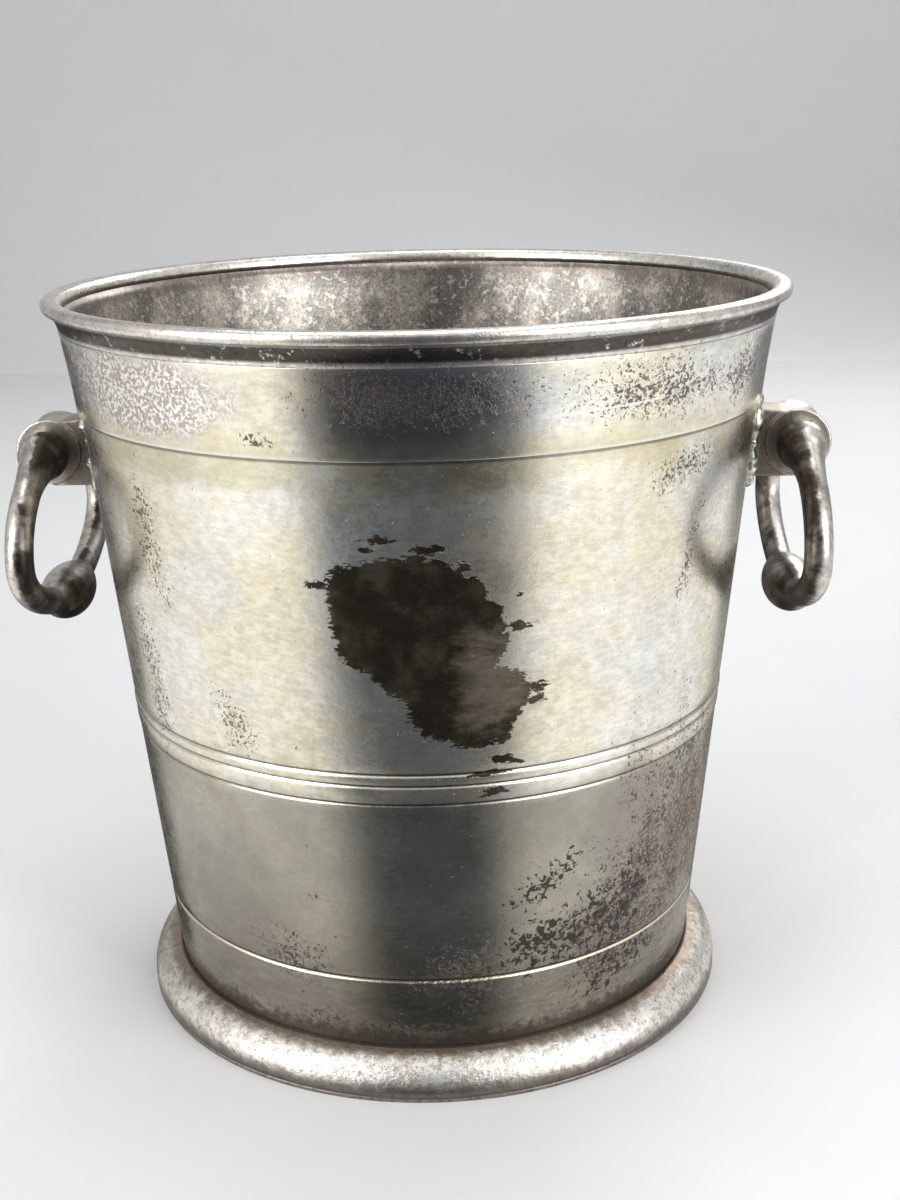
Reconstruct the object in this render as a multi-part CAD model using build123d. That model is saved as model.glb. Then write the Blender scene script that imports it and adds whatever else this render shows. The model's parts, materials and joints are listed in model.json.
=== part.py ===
from build123d import *
import math
import os

# Silver-plated champagne and ice bucket: a spun body on a spun foot, with an applied collar
# band and rim moulding, and two loose ring handles hung in cast lugs.
# Frame: +Z up, origin at the centre of the resting plane, +X towards one of the handles.
# All sizes are in millimetres.

# --- body -------------------------------------------------------------------------------
body_base_radius = 77.5     # outside radius where the wall leaves the foot
body_base_z = 12.0          # height of that seam above the table
body_slope = 0.1025         # growth of the wall radius per millimetre of height
wall = 1.4                  # sheet thickness of the wall
floor_thickness = 1.8
floor_drop = 6.0            # how far the floor's underside hangs below the foot seam
floor_corner = 3.5          # rounding where the wall turns into the floor
solder_film = 0.05          # thickness of the solder between faces that are joined

# --- collar band and flare --------------------------------------------------------------
collar_z = 174.4            # lower edge of the collar band
collar_height = 22.0
collar_thickness = 0.9
flare_radius = 265.0        # radius of the outward flare of the wall above collar_z

# --- rim moulding -----------------------------------------------------------------------
rim_height = 8.6            # moulding height, from the collar's top edge to the lip's crest
rim_overhang = 4.1          # how far the nose stands out past the collar's top edge
nose_height = 3.4           # height of the rounded nose of the lip
lip_inner_drop = 3.8        # depth of the moulding's sloping inner face

# --- foot -------------------------------------------------------------------------------
foot_overhang = 8.6         # how far the foot stands out past the wall's lower end
foot_sheet = 1.5            # sheet thickness of the spun foot
foot_top_land = 1.2         # narrow ledge round the seam, before the roll
base_wire_height = 1.2
base_wire_width = 2.6

# --- turned lines in the wall -----------------------------------------------------------
groove_heights = [32.1, 84.8, 90.0, 93.2]
groove_depth = 0.45
groove_width = 1.3
reed_swell = 0.25           # how far the reeds between the upper lines stand proud

# --- ring handles -----------------------------------------------------------------------
pivot_z = 159.8
pivot_standoff = 12.95      # pivot axis to the wall, level with it
ball_radius = 7.0
ball_spacing = 26.6         # between the two ball centres, along the pivot axis
ring_width = 88.0           # between the bar centres at the widest point
ring_widest_drop = 24.0     # widest point below the pivot
ring_drop = 43.0            # bottom bar's centre below the pivot
bar_width = 7.9             # oval bar, seen from the end of its path
bar_depth = 7.6
swell_radius = 8.0
swell_half_length = 12.5
shoulder_lead = 14.0        # how far the bar runs straight out of a ball, and up to its widest point
shoulder_dip = 3.0          # how far it falls over that run
side_lead = 10.0            # straight run below the widest point
bottom_lead = 18.0          # straight run each side of the bottom bar's middle

# --- lugs and pins ----------------------------------------------------------------------
pin_radius = 2.6
pin_clearance = 0.05        # running fit of the pin in the lug
lug_half_width = 7.8
lug_end_radius = 9.3        # hood radius at the two ends, round the pivot axis
lug_waist_radius = 8.3      # and halfway between them
lug_web_half_width = 6.6
lug_web_drop = 10.0         # flat underside of the lug below the pivot
lug_web_rise = 10.0         # top of the web where it meets the wall, above the pivot
cup_clearance = 0.3         # between the balls and the cups in the lug's ends
saddle_thickness = 1.6      # flange by which the lug is soldered to the wall
saddle_half_width = 10.5
saddle_margin = 2.0         # the saddle stands past the web above and below
saddle_corner = 5.0
web_root = 4.0              # how far the web's blank reaches into the wall before it is cut to it
web_crest_drop = 0.3        # the web's crest below the hood's waist

# --- worked out from the above ----------------------------------------------------------
collar_top_z = collar_z + collar_height
rim_z = collar_top_z + rim_height
seat_z = rim_z - lip_inner_drop
floor_under_z = body_base_z - floor_drop
floor_z = floor_under_z + floor_thickness
cone_end_radius = body_base_radius + body_slope * (collar_z - body_base_z)
cone_angle = math.atan(body_slope)
foot_radius = body_base_radius + foot_overhang
pivot_offset = body_base_radius + body_slope * (pivot_z - body_base_z) + pivot_standoff


def cone_radius(z):
    """Outside radius of the straight part of the wall."""
    return body_base_radius + body_slope * (z - body_base_z)


def flare(z):
    """Outside radius of the wall above the collar's lower edge, on one tangent arc."""
    centre_r = cone_end_radius + flare_radius * math.cos(cone_angle)
    centre_z = collar_z - flare_radius * math.sin(cone_angle)
    return centre_r - math.sqrt(flare_radius ** 2 - (z - centre_z) ** 2)


def flare_arc(z_low, z_high, offset):
    """Stretch of the flare as an arc in the R-Z plane, moved outwards by offset."""
    middle = (z_low + z_high) / 2
    return ThreePointArc(
        (flare(z_low) + offset, z_low),
        (flare(middle) + offset, middle),
        (flare(z_high) + offset, z_high),
    )


def ring_of(profile_edges):
    """Solid of revolution about Z of a closed outline drawn in R-Z."""
    face = make_face(Plane.XZ * Wire(profile_edges))
    return revolve(face, Axis.Z, 360)


def outline(points):
    """Straight edges through a list of points."""
    return [Line(a, b) for a, b in zip(points, points[1:])]


def body_shell():
    inner_corner = cone_radius(floor_z) - wall
    outside = [(0, floor_under_z), (cone_radius(floor_under_z) - floor_corner, floor_under_z)]
    edges = outline(outside)
    edges.append(TangentArc(
        outside[-1],
        (cone_radius(floor_under_z + floor_corner), floor_under_z + floor_corner),
        tangent=(1, 0),
    ))
    edges.append(Line(edges[-1] @ 1, (cone_end_radius, collar_z)))
    edges.append(flare_arc(collar_z, seat_z, 0))
    edges.append(Line(edges[-1] @ 1, (flare(seat_z) - wall, seat_z)))
    inner_flare = flare_arc(collar_z, seat_z, -wall)
    edges.append(inner_flare)
    corner_top = floor_z + floor_corner
    edges.append(Line(inner_flare @ 0, (cone_radius(corner_top) - wall, corner_top)))
    edges.append(TangentArc(
        (inner_corner - floor_corner, floor_z),
        (cone_radius(corner_top) - wall, corner_top),
        tangent=(1, 0),
    ))
    edges.append(Line((inner_corner - floor_corner, floor_z), (0, floor_z)))
    edges.append(Line((0, floor_z), (0, floor_under_z)))
    shell = ring_of(edges)
    for low, high in zip(groove_heights[1:], groove_heights[2:]):
        shell += reed(low + groove_width / 2, high - groove_width / 2)
    for z in groove_heights:
        shell -= groove(z)
    return shell


def groove(z):
    """V-shaped turned line, deepest at height z."""
    half = groove_width / 2
    low = (cone_radius(z - half), z - half)
    high = (cone_radius(z + half), z + half)
    bottom = (cone_radius(z) - groove_depth, z)
    outside_low = (low[0] + 1, low[1])
    outside_high = (high[0] + 1, high[1])
    return ring_of(outline([low, bottom, high, outside_high, outside_low, low]))


def reed(z_low, z_high):
    """Softly rounded bead standing proud between two turned lines."""
    middle = (z_low + z_high) / 2
    low = (cone_radius(z_low), z_low)
    high = (cone_radius(z_high), z_high)
    inner_low = (low[0] - wall / 2, z_low)
    inner_high = (high[0] - wall / 2, z_high)
    edges = outline([high, inner_high, inner_low, low])
    edges.append(ThreePointArc(low, (cone_radius(middle) + reed_swell, middle), high))
    return ring_of(edges)


def collar_band():
    inner = flare_arc(collar_z, collar_top_z, solder_film)
    outer = flare_arc(collar_z, collar_top_z, collar_thickness)
    return ring_of([inner, outer, Line(inner @ 0, outer @ 0), Line(inner @ 1, outer @ 1)])


def rim_moulding():
    """Cove, rounded nose and sloping inner face, lapped over the wall's top edge."""
    back = flare_arc(collar_top_z, seat_z, solder_film)
    foot_point = (flare(collar_top_z) + collar_thickness, collar_top_z)
    nose_radius = foot_point[0] + rim_overhang
    nose_low = (nose_radius - nose_height * 0.45, rim_z - nose_height)
    nose_mid = (nose_radius, rim_z - nose_height * 0.55)
    crest = (nose_radius - nose_height * 0.55, rim_z)
    cove_mid = (
        foot_point[0] + (nose_low[0] - foot_point[0]) * 0.28,
        foot_point[1] + (nose_low[1] - foot_point[1]) * 0.55,
    )
    inner_foot = (flare(seat_z) - wall, seat_z)
    inner_turn = (inner_foot[0] + 0.7, rim_z - 0.6)
    edges = [
        back,
        Line(back @ 0, foot_point),
        ThreePointArc(foot_point, cove_mid, nose_low),
        ThreePointArc(nose_low, nose_mid, crest),
        Spline(crest, inner_turn, tangents=[(-1, 0), (-0.6, -1)]),
        Line(inner_turn, inner_foot),
        Line(inner_foot, back @ 1),
    ]
    return ring_of(edges)


def foot_ring():
    """Hollow ovolo foot: a seam ledge, a rounded roll and a straight skirt."""
    seam = (body_base_radius + solder_film, body_base_z)
    ledge = (body_base_radius + foot_top_land, body_base_z - 0.5)
    skirt_top = (foot_radius, base_wire_height + 1.4)
    roll_mid = (
        ledge[0] + (skirt_top[0] - ledge[0]) * 0.72,
        skirt_top[1] + (ledge[1] - skirt_top[1]) * 0.66,
    )
    skirt_low = (foot_radius, base_wire_height)
    inner_low = (foot_radius - foot_sheet, base_wire_height)
    inner_skirt = (foot_radius - foot_sheet, skirt_top[1])
    inner_mid = (roll_mid[0] - foot_sheet * 0.72, roll_mid[1] - foot_sheet * 0.72)
    under_ledge = (ledge[0], ledge[1] - foot_sheet)
    inner_seam = (cone_radius(under_ledge[1]) + solder_film, under_ledge[1])
    return ring_of([
        Line(inner_seam, seam),
        Line(seam, ledge),
        ThreePointArc(ledge, roll_mid, skirt_top),
        Line(skirt_top, skirt_low),
        Line(skirt_low, inner_low),
        Line(inner_low, inner_skirt),
        ThreePointArc(inner_skirt, inner_mid, under_ledge),
        Line(under_ledge, inner_seam),
    ])


def body_envelope():
    """Plug filling the bucket's outside, used to fit neighbours to its wall."""
    return ring_of(outline([
        (0, floor_under_z), (cone_radius(floor_under_z) + solder_film, floor_under_z),
        (cone_end_radius + solder_film, collar_z), (0, collar_z), (0, floor_under_z),
    ]))


def foot_base_wire():
    """Flat wire soldered under the skirt, on which the bucket stands."""
    outer = Cylinder(foot_radius, base_wire_height, align=(Align.CENTER, Align.CENTER, Align.MIN))
    inner = Cylinder(
        foot_radius - base_wire_width, base_wire_height, align=(Align.CENTER, Align.CENTER, Align.MIN)
    )
    return outer - inner


def lug():
    """Cast bracket for the +X handle: spool-shaped hood, web and saddle."""
    pivot = Pos(pivot_offset, 0, pivot_z)
    spool_edges = outline([
        (0, lug_half_width), (lug_end_radius, lug_half_width),
    ])
    spool_edges.append(ThreePointArc(
        (lug_end_radius, lug_half_width), (lug_waist_radius, 0), (lug_end_radius, -lug_half_width)
    ))
    spool_edges += outline([(lug_end_radius, -lug_half_width), (0, -lug_half_width), (0, lug_half_width)])
    spool = revolve(make_face(Wire(spool_edges)), Axis.Y, 360)
    root_x = cone_radius(pivot_z) - web_root
    web_outline = [
        (root_x, pivot_z + lug_web_rise), (pivot_offset, pivot_z + lug_waist_radius - web_crest_drop),
        (pivot_offset, pivot_z - lug_web_drop), (root_x, pivot_z - lug_web_drop),
        (root_x, pivot_z + lug_web_rise),
    ]
    web_face = make_face(Plane.XZ * Wire(outline(web_outline)))
    web = extrude(web_face, lug_web_half_width, both=True)
    underside = Pos(0, 0, pivot_z - lug_web_drop) * Box(
        4 * pivot_offset, 4 * pivot_offset, pivot_z, align=(Align.CENTER, Align.CENTER, Align.MAX)
    )
    bracket = pivot * spool + web - underside + saddle() - body_envelope()
    for side in (-1, 1):
        bracket -= pivot * Pos(0, side * ball_spacing / 2, 0) * Sphere(ball_radius + cup_clearance)
    bore = Rot(90, 0, 0) * Cylinder(pin_radius + pin_clearance, 2 * lug_half_width + 2)
    return bracket - pivot * bore


def saddle():
    """Rounded flange that follows the wall's cone."""
    low_z = pivot_z - lug_web_drop - saddle_margin
    high_z = pivot_z + lug_web_rise + saddle_margin
    pad = Pos(cone_radius(pivot_z), 0, (low_z + high_z) / 2) * Rot(0, 90, 0) * extrude(
        RectangleRounded(high_z - low_z, 2 * saddle_half_width, saddle_corner), 8, both=True
    )
    shell_edges = outline([
        (0, low_z - 1), (cone_radius(low_z - 1) + saddle_thickness, low_z - 1),
        (cone_radius(high_z + 1) + saddle_thickness, high_z + 1), (0, high_z + 1), (0, low_z - 1),
    ])
    return pad & ring_of(shell_edges)


def ring_path():
    """Half of the handle's centreline, from one ball to the middle of the bottom bar, in Y-Z."""
    ball = (ball_spacing / 2, 0)
    widest = (ring_width / 2, -ring_widest_drop)
    bottom = (0, -ring_drop)
    shoulder = Bezier(
        ball, (ball[0] + shoulder_lead, -shoulder_dip), (widest[0], widest[1] + shoulder_lead), widest
    )
    lower = Bezier(
        widest, (widest[0], widest[1] - side_lead), (bottom_lead, bottom[1]), bottom
    )
    return Plane.YZ * Wire([shoulder, lower])


def ring_handle():
    """Oval drop handle for the +X side, hanging down from its two ball ends."""
    path = ring_path()
    start = Plane(origin=path @ 0, z_dir=path % 0, x_dir=(1, 0, 0))
    half_bar = sweep(start * Ellipse(bar_width / 2, bar_depth / 2), path)
    half_ring = half_bar + Pos(0, ball_spacing / 2, 0) * Sphere(ball_radius)
    egg_face = make_face(Wire([
        EllipticalCenterArc((0, 0), swell_radius, swell_half_length, -90, arc_size=180),
        Line((0, swell_half_length), (0, -swell_half_length)),
    ]))
    egg = Pos(0, 0, -ring_drop) * revolve(egg_face, Axis.Y, 360)
    ring = half_ring + mirror(half_ring, about=Plane.XZ) + egg
    ring -= hinge_pin_blank()
    return Pos(pivot_offset, 0, pivot_z) * ring


def hinge_pin_blank():
    """Pin on the pivot axis, its ends pressed into the two balls."""
    return Rot(90, 0, 0) * Cylinder(pin_radius, ball_spacing)


def hinge_pin():
    return Pos(pivot_offset, 0, pivot_z) * hinge_pin_blank()


os.makedirs("parts", exist_ok=True)

for name, shape in {
    "body_shell": body_shell(),
    "collar_band": collar_band(),
    "rim_moulding": rim_moulding(),
    "foot_ring": foot_ring(),
    "foot_base_wire": foot_base_wire(),
}.items():
    export_step(shape, f"parts/{name}.step")

for name, shape in {"lug": lug(), "ring_handle": ring_handle(), "hinge_pin": hinge_pin()}.items():
    export_step(shape, f"parts/{name}_right.step")
    export_step(Rot(0, 0, 180) * shape, f"parts/{name}_left.step")
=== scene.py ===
# %% [markdown]
# # A tarnished silver-plated ice bucket
# The bucket is a cone of thin metal, spun on a lathe, with a collar, a rolled rim and a hollow
# foot soldered to it. Two cast rings hang in brackets at its sides. The construction is already
# packed as a fixed frame, so this lesson only dresses it: each cell makes one piece or one
# finish, in metres, in the frame's own place.

# %% Load the frame
import json
import math

import bpy
from mathutils import Matrix, Vector


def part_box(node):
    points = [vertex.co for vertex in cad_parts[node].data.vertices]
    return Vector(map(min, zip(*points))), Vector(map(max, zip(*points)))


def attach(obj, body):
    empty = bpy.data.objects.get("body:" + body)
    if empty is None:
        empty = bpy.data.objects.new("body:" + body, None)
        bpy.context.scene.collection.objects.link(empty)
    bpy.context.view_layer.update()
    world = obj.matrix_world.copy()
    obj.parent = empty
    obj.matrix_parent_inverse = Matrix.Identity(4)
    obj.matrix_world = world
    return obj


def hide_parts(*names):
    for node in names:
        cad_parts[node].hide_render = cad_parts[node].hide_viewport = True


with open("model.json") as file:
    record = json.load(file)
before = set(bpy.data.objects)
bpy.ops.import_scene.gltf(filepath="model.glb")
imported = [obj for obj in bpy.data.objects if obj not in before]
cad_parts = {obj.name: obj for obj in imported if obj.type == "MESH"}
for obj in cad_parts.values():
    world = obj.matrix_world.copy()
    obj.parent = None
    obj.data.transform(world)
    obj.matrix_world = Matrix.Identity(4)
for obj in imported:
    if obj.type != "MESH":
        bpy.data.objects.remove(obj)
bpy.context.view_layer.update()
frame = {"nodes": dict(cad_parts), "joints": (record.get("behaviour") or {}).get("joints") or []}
scene = bpy.context.scene
scene.view_settings.view_transform = "Standard"

# %% [markdown]
# ## Sizes read from the frame
# Every turned piece is described by heights and radii. They are read from the boxes of the
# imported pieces, so that the dressed bucket always fits the construction. The few values that a
# box can't give, such as the depth of a turned line, are named here in metres.

# %% Sizes
mm = 0.001


def radius_of(node):
    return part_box(node)[1].x


def heights_of(node):
    low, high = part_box(node)
    return low.z, high.z


collar_low, collar_high = heights_of("collar_band")
rim_low, rim_high = heights_of("rim_moulding")
foot_low, foot_high = heights_of("foot_ring")
body_low, body_high = heights_of("body_shell")
rim_radius = radius_of("rim_moulding")
foot_radius = radius_of("foot_ring")
pivot = Vector(next(j for j in frame["joints"] if j["name"] == "right_handle_swing")["pos_m"])
wall_slope = 0.1025
wall_at_foot = 77.5 * mm
sheet_thickness = 1.4 * mm
line_heights = [32.1 * mm, 84.8 * mm, 90.0 * mm, 93.2 * mm]
line_depth = 0.45 * mm
line_half_width = 0.65 * mm
reed_swell = 0.25 * mm
flare_radius = 265 * mm
print("collar", collar_low, collar_high, "rim", rim_radius, "foot", foot_radius)

# %% [markdown]
# ## Node maths as plain arithmetic
# A finish is a graph of small nodes, and so is a shape in Geometry Nodes. Wiring Math nodes by
# hand is slow to read, so `Value` wraps a socket and turns `+`, `-`, `*`, `/` and `**` into
# Math nodes. `Graph` adds every node through one method, which takes the node's type, what to
# plug into it, and its settings. `Finish` is a graph that makes a material.

# %% A socket that can be added and multiplied
class Value:
    """A number that varies over the surface."""

    def __init__(self, graph, socket):
        self.graph = graph
        self.socket = socket

    def __add__(self, other):
        return self.graph.math("ADD", self, other)

    def __sub__(self, other):
        return self.graph.math("SUBTRACT", self, other)

    def __rsub__(self, other):
        return self.graph.math("SUBTRACT", other, self)

    def __mul__(self, other):
        return self.graph.math("MULTIPLY", self, other)

    def __truediv__(self, other):
        return self.graph.math("DIVIDE", self, other)

    def __rtruediv__(self, other):
        return self.graph.math("DIVIDE", other, self)

    def __pow__(self, other):
        return self.graph.math("POWER", self, other)

    __radd__ = __add__
    __rmul__ = __mul__


# %% A node tree wired by code
class Graph:
    """A node tree. Every node in it comes from the one method node()."""

    def __init__(self, tree):
        self.tree = tree

    def node(self, kind, plugs=None, **settings):
        """Adds a node: its settings first, then its sockets' values or links."""
        made = self.tree.nodes.new(kind)
        for name, setting in settings.items():
            setattr(made, name, setting)
        for key, plug in (plugs or {}).items():
            plug = plug.socket if isinstance(plug, Value) else plug
            if isinstance(plug, bpy.types.NodeSocket):
                self.tree.links.new(plug, made.inputs[key])
            else:
                made.inputs[key].default_value = plug
        return made

    def math(self, operation, *terms):
        made = self.node("ShaderNodeMath", dict(enumerate(terms)), operation=operation)
        return Value(self, made.outputs[0])

    def vector(self, operation, *terms, **more):
        """A Vector Math node's vector, or its number where the operation gives one."""
        plugs = {**dict(enumerate(terms)), **more}
        made = self.node("ShaderNodeVectorMath", plugs, operation=operation)
        return Value(self, made.outputs[1]) if operation == "DOT_PRODUCT" else made.outputs[0]

    def axes(self, place):
        """The three numbers in a vector."""
        parts = self.node("ShaderNodeSeparateXYZ", {0: place}).outputs
        return [Value(self, part) for part in parts]


# %% A material with its helpers
class Finish(Graph):
    """One material, with the surface's place in millimetres ready to use."""

    def __init__(self, name):
        self.material = bpy.data.materials.new(name)
        self.material.use_nodes = True
        super().__init__(self.material.node_tree)
        self.tree.nodes.clear()
        place = self.node("ShaderNodeTexCoord").outputs["Object"]
        self.place = self.vector("SCALE", place, Scale=1 / mm)
        self.x, self.y, self.z = self.axes(self.place)

    def step(self, value, low, high):
        """0 below low, 1 above high, smooth between them."""
        made = self.node(
            "ShaderNodeMapRange", {"Value": value, "From Min": low, "From Max": high},
            interpolation_type="SMOOTHSTEP",
        )
        return Value(self, made.outputs[0])

    def band(self, value, outer, inner):
        """1 where value is within inner of zero, 0 where it is further off than outer."""
        return self.step(self.math("ABSOLUTE", value), outer, inner)

    def stretch(self, *shares):
        """The place with its axes scaled, for grain that runs one way."""
        return self.vector("MULTIPLY", self.place, shares)

    def noise(self, size, detail=4.0, rough=0.55, place=None, shift=0.0, twist=0.0):
        """Cloudy noise whose blobs are about size millimetres across."""
        made = self.node(
            "ShaderNodeTexNoise",
            {"Vector": place or self.place, "W": shift, "Scale": 1.0 / size, "Detail": detail,
             "Roughness": rough, "Distortion": twist},
            noise_dimensions="4D",
        )
        return Value(self, made.outputs["Fac"])

    def spots(self, size, low, high, **grain):
        """Noise cut to a mask: 0 where it is under low, 1 where it is over high."""
        return self.step(self.noise(size, **grain), low, high)

    def ragged(self, size):
        """Noise centred on zero, for the torn edge of a patch."""
        return self.noise(size, detail=6.0, rough=0.65) - 0.5

    def mix(self, share, under, over, blend="MIX"):
        plugs = {0: share, 6: under, 7: over}
        return self.node("ShaderNodeMix", plugs, data_type="RGBA", blend_type=blend).outputs[2]

    def output(self, colour, roughness, metallic=1.0, bump=None, bump_depth=0.05):
        """Joins everything in one Principled shader. Bump heights are in millimetres."""
        plugs = {"Base Color": colour, "Roughness": roughness, "Metallic": metallic}
        if bump is not None:
            heights = {"Height": bump, "Distance": bump_depth * mm, "Strength": 1.0}
            plugs["Normal"] = self.node("ShaderNodeBump", heights).outputs[0]
        shader = self.node("ShaderNodeBsdfPrincipled", plugs)
        self.node("ShaderNodeOutputMaterial", {"Surface": shader.outputs[0]})
        return self.material


# %% [markdown]
# ## Where the tarnish sits
# Silver darkens in patches: where fingers held it, where wet labels dried, where polish never
# reached. On a turned body the handy map is unrolled: millimetres round the wall from the
# front, and height. A patch is an ellipse on that map, and noise tears its edge.

# %% Patches on the unrolled wall
unrolled_radius = 88.0
view_turn = math.radians(3.15)


def unroll(finish):
    """Millimetres round the wall from the shown side's middle, positive towards +X."""
    return (finish.math("ARCTAN2", finish.x, finish.y * -1.0) - view_turn) * unrolled_radius


def patch(finish, around, centre, half_size, tilt=0.0):
    """1 in the middle of an ellipse on the unrolled wall, 0 on its edge, negative outside."""
    c, s = math.cos(math.radians(tilt)), math.sin(math.radians(tilt))
    da = around - centre[0]
    dz = finish.z - centre[1]
    along = (da * c + dz * s) / half_size[0]
    across = (dz * c - da * s) / half_size[1]
    return 1.0 - (along * along + across * across) ** 0.5


def patches(finish, around, table):
    """The highest of several patches at each point."""
    best = None
    for centre, half_size, tilt in table:
        one = patch(finish, around, centre, half_size, tilt)
        best = one if best is None else finish.math("MAXIMUM", best, one)
    return best


# %% [markdown]
# ## Silver plate
# Clean plate is a bright, slightly warm mirror with a satin haze. Age adds clouds of straw
# yellow and blue grey, a fine grain of worm-like pits in brown and violet, and wipe marks. All
# plated pieces share this recipe, so it is one function whose arguments say how much of each
# fault a piece has.

# %% Colours and layers shared by all plated pieces
# Clean plate's colour, also used for the painted highlight on the collar's lower edge.
clean_silver_and_highlight = (0.92, 0.90, 0.85, 1)
straw_silver = (0.86, 0.77, 0.56, 1)
blue_silver = (0.62, 0.69, 0.74, 1)
umber = (0.075, 0.054, 0.042, 1)
taupe = (0.19, 0.155, 0.14, 1)
tan = (0.32, 0.225, 0.13, 1)
# Near black: real grime at the foot, and painted shade in the cuts, under the collar and in the
# rim's cove.
grime_and_shade = (0.040, 0.031, 0.024, 1)


def plate_clouds(finish, straw=0.5, blue=0.4, shift=0.0):
    """The broad colour of old plate, and its fine mottling from 0 to 1."""
    clouds = finish.noise(34, detail=5, rough=0.6, shift=shift)
    cool = finish.noise(26, detail=5, rough=0.6, shift=shift + 3.7)
    blotch = finish.noise(3.6, detail=6, rough=0.7, shift=shift + 1.3)
    drawn = finish.stretch(0.4, 0.4, 1.2)
    flakes = finish.noise(1.3, detail=4, rough=0.7, place=drawn, shift=shift)
    colour = finish.mix(finish.step(clouds, 0.36, 0.64) * straw, clean_silver_and_highlight, straw_silver)
    colour = finish.mix(finish.step(cool, 0.46, 0.70) * blue, colour, blue_silver)
    mottle = finish.step(blotch, 0.40, 0.60) * 0.5 + finish.step(flakes, 0.42, 0.58) * 0.5
    shade = mottle * 0.26 + 0.76
    grey = finish.node("ShaderNodeCombineColor", {0: shade, 1: shade, 2: shade * 0.98})
    return finish.mix(1.0, colour, grey.outputs[0], "MULTIPLY"), mottle


def corrosion(finish, density, size=1.3, shift=0.0):
    """Worm-like pits: a few dots where density is 0, pale islands in brown where it is 1."""
    curl = finish.noise(size, detail=3, rough=0.6, shift=shift, twist=0.8)
    return finish.step(curl + density * 0.27, 0.69, 0.74)


def corroded(finish, colour, pits, shift=0.0):
    """Lays the pits over a colour in umber, taupe and tan."""
    hue = finish.noise(7, detail=4, rough=0.6, shift=shift)
    dirt = finish.mix(finish.step(hue, 0.42, 0.60), umber, taupe)
    dirt = finish.mix(finish.spots(4, 0.52, 0.68, detail=3, shift=shift + 2), dirt, tan)
    return finish.mix(pits * 0.9, colour, dirt)


def hairlines(finish, shift=0.0):
    """Lathe marks: noise drawn out round the bucket, thin in height."""
    drawn = finish.stretch(0.012, 0.012, 2.2)
    return finish.noise(1.0, detail=3, rough=0.6, place=drawn, shift=shift)


# %% [markdown]
# ## The wall's ground colour
# The upper wall is pale, straw yellow and softly brushed. Below the turned lines it is darker
# and greyer, and darker and browner still towards the foot. Under the collar a wavy olive
# line shows how far a cloth could reach.

# %% Ground of the wall
def wall_ground(finish):
    colour, mottle = plate_clouds(finish, straw=0.8, blue=0.3)
    low_wall = finish.step(finish.z + finish.ragged(30) * 10, 90, 82)
    dull = finish.spots(20, 0.3, 0.7, detail=6, rough=0.65, shift=8.0) * 0.24 + 0.74
    colour = finish.mix(low_wall * dull, colour, (0.335, 0.315, 0.26, 1))
    foot_dull = finish.step(finish.z + finish.ragged(12) * 14, 60, 20)
    drawn = finish.stretch(0.25, 0.25, 1.0)
    streaks = finish.spots(1.6, 0.35, 0.65, detail=5, rough=0.7, place=drawn, shift=9.0)
    foot_dull = foot_dull * (streaks * 0.35 + 0.3)
    colour = finish.mix(foot_dull, colour, (0.15, 0.125, 0.095, 1))
    olive_edge = finish.step(finish.z + finish.ragged(9) * 10, 164, 169)
    olive_edge = olive_edge * finish.spots(24, 0.35, 0.6, detail=4, shift=4)
    return finish.mix(olive_edge * 0.55, colour, (0.47, 0.41, 0.20, 1)), mottle


# %% [markdown]
# ## Pits and freckles
# Salt and damp eat through the plate in freckles. A table says where they sit. Fine brown ones
# are scattered in weak patches, some places are only hazy, and low on the right the pits join
# into black, worm-like holes.

# %% Pitted places of the wall
pitted_places = [
    ((90, 58), (40, 44), 30), ((60, 40), (34, 20), 20), ((158, 104), (20, 34), 10),
    ((-150, 60), (45, 40), 0), ((-140, 150), (30, 25), 20), ((205, 60), (40, 30), 0),
]
freckled_places = [
    ((-54, 104), (8, 11), 20), ((73, 140), (5, 24), -10), ((66, 166), (16, 6), 8),
    ((-76, 150), (8, 24), 8), ((-86, 110), (8, 28), 5), ((-34, 56), (2.6, 2.6), 0),
    ((-44, 36), (18, 10), -20), ((-28, 17), (34, 5), 0), ((12, 34), (22, 12), 10),
]
hazy_places = [
    ((-66, 46), (24, 30), 0), ((-44, 22), (34, 9), -4), ((42, 36), (24, 14), 12),
    ((62, 70), (20, 26), 20),
]
deep_places = [
    ((34, 40), (22, 12), 14), ((56, 44), (22, 18), 24), ((30, 58), (14, 6), 30),
    ((60, 26), (22, 7), 8),
]


def wall_pits(finish, around, colour):
    torn = finish.ragged(13) * 1.8
    regions = patches(finish, around, pitted_places) + torn
    freckled = finish.step(patches(finish, around, freckled_places) + torn, -0.4, 0.9) * 0.75
    density = finish.math("MAXIMUM", finish.step(regions, -0.45, 0.9), freckled)
    pits = corrosion(finish, density, 1.0)
    dull = finish.math("MAXIMUM", regions, patches(finish, around, hazy_places) + torn)
    haze = finish.step(dull, -0.1, 0.8) * 0.45
    colour = corroded(finish, finish.mix(haze, colour, (0.24, 0.21, 0.20, 1)), pits, shift=14.0)
    deep = finish.step(patches(finish, around, deep_places) + torn * 0.8, -0.5, 0.8) * 0.8
    deep_pits = corrosion(finish, deep, 1.7, shift=9.0)
    colour = finish.mix(deep_pits * 0.92, colour, (0.022, 0.018, 0.014, 1))
    return colour, pits, haze, deep_pits


# %% [markdown]
# ## The stain
# The wall carries the one thing everyone notices: an olive-brown stain on the front, left where
# an ornament was masked from the polish. Its outline is a many-sided shape. Each side gives a
# distance, the smallest of them says how deep a point lies inside, and noise stretched round
# the bucket tears the edge into flat flakes.

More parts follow.
